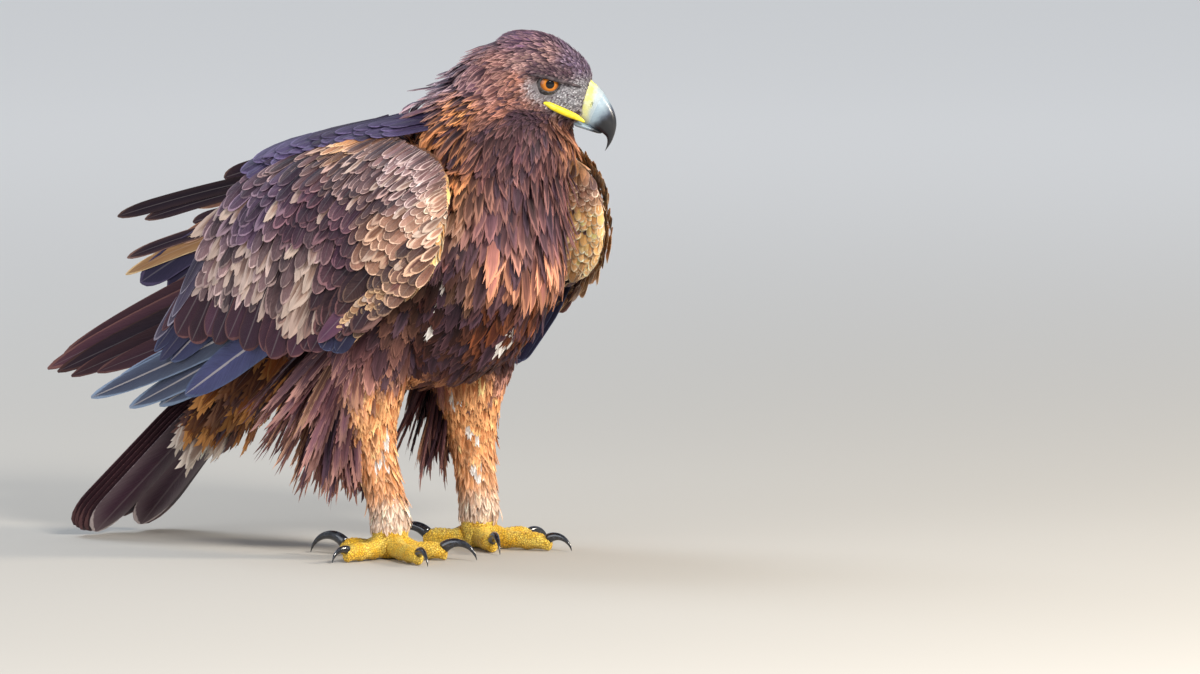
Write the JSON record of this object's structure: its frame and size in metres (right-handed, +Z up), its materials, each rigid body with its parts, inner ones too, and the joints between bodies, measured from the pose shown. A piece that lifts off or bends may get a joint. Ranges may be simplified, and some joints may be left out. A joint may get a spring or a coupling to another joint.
{
  "type": "standing golden eagle museum model",
  "caption": "Life-size still model of a golden eagle standing with folded wings and its head turned to its left.",
  "frame": {"origin": "on the floor under the middle of the bird's box", "axes": "+X from tail to breast, +Y to the bird's left, +Z up"},
  "size_m": [0.6356, 0.3002, 0.4722],
  "materials": {
    "bill_horn": "polished blue-grey horn, black towards the hook",
    "cere_skin": "waxy pale yellow skin",
    "claw_horn": "glossy blue-black horn",
    "eye_amber": "clear glossy amber eye with a dark pupil",
    "flight_feather": "smooth dark grey-brown feathers with a soft sheen",
    "foot_skin": "bright yellow scaly skin",
    "leg_feather": "soft short orange-tan feathers",
    "plumage_brown": "matt dark rufous feathers",
    "plumage_dark": "matt dark brown body feathers",
    "plumage_gold": "silky golden rust pointed feathers",
    "wing_covert": "matt brown feathers with paler edges"
  },
  "bodies": {
    "root": {"bill_lower": "bill_horn", "bill_upper": "bill_horn", "cere": "cere_skin", "claw_left_hind": "claw_horn", "claw_left_inner": "claw_horn", "claw_left_middle": "claw_horn", "claw_left_outer": "claw_horn", "claw_right_hind": "claw_horn", "claw_right_inner": "claw_horn", "claw_right_middle": "claw_horn", "claw_right_outer": "claw_horn", "eye_left": "eye_amber", "eye_right": "eye_amber", "foot_left": "foot_skin", "foot_right": "foot_skin", "gape_left": "cere_skin", "gape_right": "cere_skin", "head": "plumage_brown", "neck": "plumage_gold", "tail": "flight_feather", "tarsus_left": "leg_feather", "tarsus_right": "leg_feather", "thigh_left": "plumage_brown", "thigh_right": "plumage_brown", "toe_left_hind": "foot_skin", "toe_left_inner": "foot_skin", "toe_left_middle": "foot_skin", "toe_left_outer": "foot_skin", "toe_right_hind": "foot_skin", "toe_right_inner": "foot_skin", "toe_right_middle": "foot_skin", "toe_right_outer": "foot_skin", "torso": "plumage_dark", "wing_left": "wing_covert", "wing_right": "wing_covert"}
  },
  "joints": []
}
